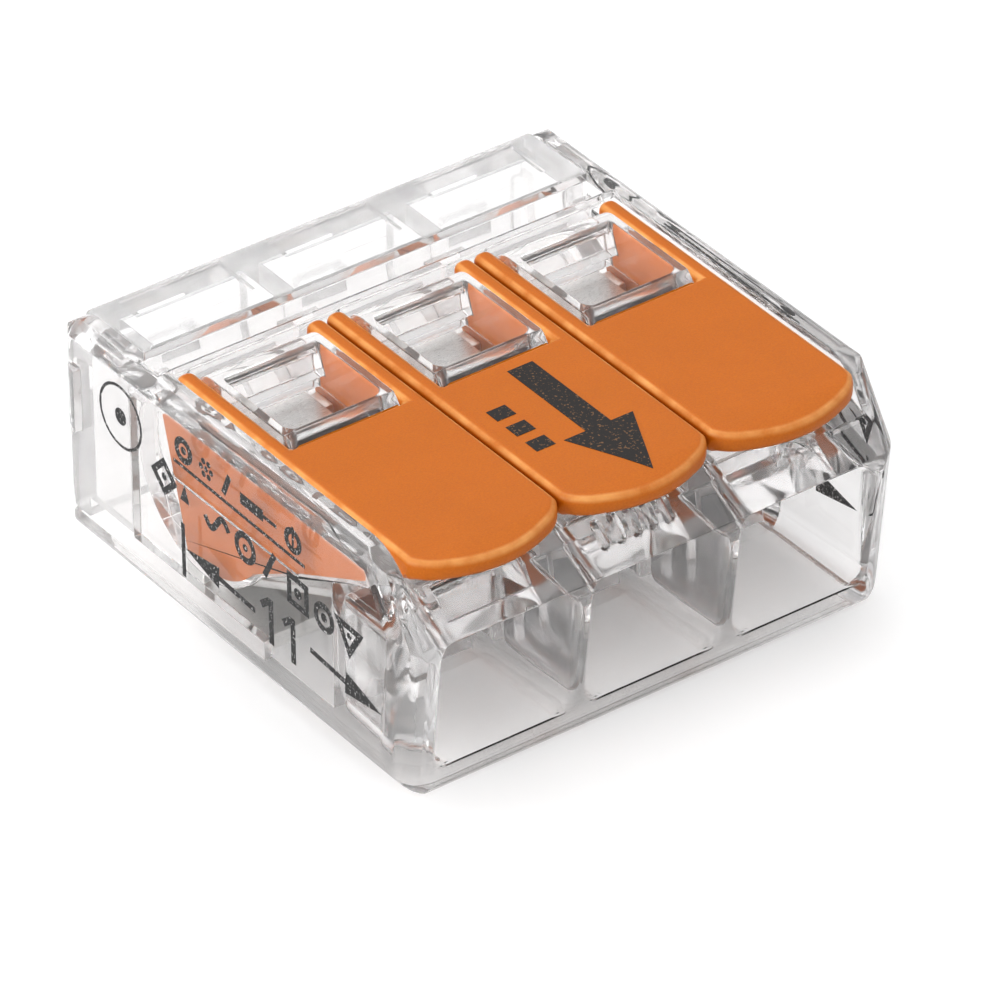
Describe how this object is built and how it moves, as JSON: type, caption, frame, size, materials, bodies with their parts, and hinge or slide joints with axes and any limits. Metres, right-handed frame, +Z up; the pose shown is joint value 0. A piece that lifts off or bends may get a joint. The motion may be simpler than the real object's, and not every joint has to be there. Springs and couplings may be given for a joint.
{
  "type": "lever wire connector",
  "caption": "Compact splicing connector with a clear case and orange levers that open sprung clamps for stripped wires pushed into its front entries.",
  "frame": {"origin": "centre of the underside of the case", "axes": "+Z up, +X across the poles, the wires enter from -Y"},
  "size_m": [0.0186, 0.0185, 0.0083],
  "materials": {
    "case_clear": "clear, polished polycarbonate",
    "cover_clear": "clear, polished polycarbonate",
    "lever_orange": "satin with a fine grain",
    "tinned_copper": "tin-plated copper, satin",
    "spring_steel": "rolled spring strip"
  },
  "bodies": {
    "case": {"housing": "case_clear", "rear_cover": "cover_clear", "current_bar": "tinned_copper", "spring_1_anchor": "spring_steel", "spring_2_anchor": "spring_steel", "spring_3_anchor": "spring_steel"},
    "handle_1": {"lever_1": "lever_orange"},
    "clamp_1": {"spring_1_leg": "spring_steel"},
    "handle_2": {"lever_2": "lever_orange"},
    "clamp_2": {"spring_2_leg": "spring_steel"},
    "handle_3": {"lever_3": "lever_orange"},
    "clamp_3": {"spring_3_leg": "spring_steel"}
  },
  "joints": [
    {"name": "lever_1_swing", "type": "hinge", "parent": "case", "child": "handle_1", "pos_m": [-0.0056, 0.002, 0.00575], "axis": [-1, 0, 0], "range_deg": [0, 90]},
    {"name": "clamp_1_flex", "type": "hinge", "parent": "case", "child": "clamp_1", "pos_m": [-0.0056, -0.0033, 0.0053], "axis": [1, 0, 0], "range_deg": [0, 24]},
    {"name": "lever_2_swing", "type": "hinge", "parent": "case", "child": "handle_2", "pos_m": [0, 0.002, 0.00575], "axis": [-1, 0, 0], "range_deg": [0, 90]},
    {"name": "clamp_2_flex", "type": "hinge", "parent": "case", "child": "clamp_2", "pos_m": [0, -0.0033, 0.0053], "axis": [1, 0, 0], "range_deg": [0, 24]},
    {"name": "lever_3_swing", "type": "hinge", "parent": "case", "child": "handle_3", "pos_m": [0.0056, 0.002, 0.00575], "axis": [-1, 0, 0], "range_deg": [0, 90]},
    {"name": "clamp_3_flex", "type": "hinge", "parent": "case", "child": "clamp_3", "pos_m": [0.0056, -0.0033, 0.0053], "axis": [1, 0, 0], "range_deg": [0, 24]}
  ],
  "couplings": [
    {"joint": "clamp_1_flex", "follows": "lever_1_swing", "ratio": 0.2666},
    {"joint": "clamp_2_flex", "follows": "lever_2_swing", "ratio": 0.2666},
    {"joint": "clamp_3_flex", "follows": "lever_3_swing", "ratio": 0.2666}
  ]
}
